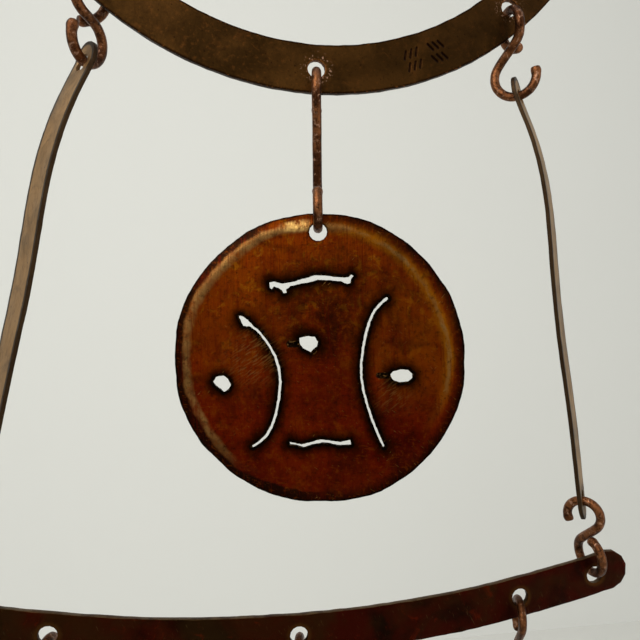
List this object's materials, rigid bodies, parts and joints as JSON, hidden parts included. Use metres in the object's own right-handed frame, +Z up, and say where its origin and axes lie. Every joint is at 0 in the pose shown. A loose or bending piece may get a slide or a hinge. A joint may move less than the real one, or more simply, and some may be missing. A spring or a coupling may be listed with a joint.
{
  "type": "hanging mobile sculpture",
  "caption": "Hanging steel mobile: a flat ring carries a torch-cut disc and two straps, which hold a curved bar with smaller discs hung on bent-rod hooks.",
  "frame": {"origin": "the point under the top of the hanger hook's upper loop, where a nail or hook carries the mobile", "axes": "+Z up, +X to the viewer's right, -Y towards the viewer; the flat ring, discs and lower bar lie in the XZ plane"},
  "size_m": [0.3706, 0.0274, 0.8348],
  "materials": {
    "ring_plate": "olive-brown lacquered steel plate, satin",
    "disc_plate": "amber and copper-brown lacquered steel plate, brushed, semi-gloss",
    "hook_rod": "copper-brown bent steel rod with dark heat marks",
    "strap_bar": "grey-brown flat steel bar, satin",
    "lower_bar": "dark maroon-brown flat steel bar with a lighter upper edge"
  },
  "bodies": {
    "root": {"hanger_hook": "hook_rod", "upper_ring": "ring_plate", "centre_hook": "hook_rod", "centre_disc": "disc_plate", "left_upper_hook": "hook_rod", "left_lower_hook": "hook_rod", "left_strap": "strap_bar", "right_upper_hook": "hook_rod", "right_lower_hook": "hook_rod", "right_strap": "strap_bar", "lower_bar": "lower_bar", "left_pendant_hook": "hook_rod", "left_pendant_disc": "disc_plate", "centre_pendant_hook": "hook_rod", "centre_pendant_disc": "disc_plate", "right_pendant_hook": "hook_rod", "right_pendant_disc": "disc_plate"}
  },
  "joints": []
}
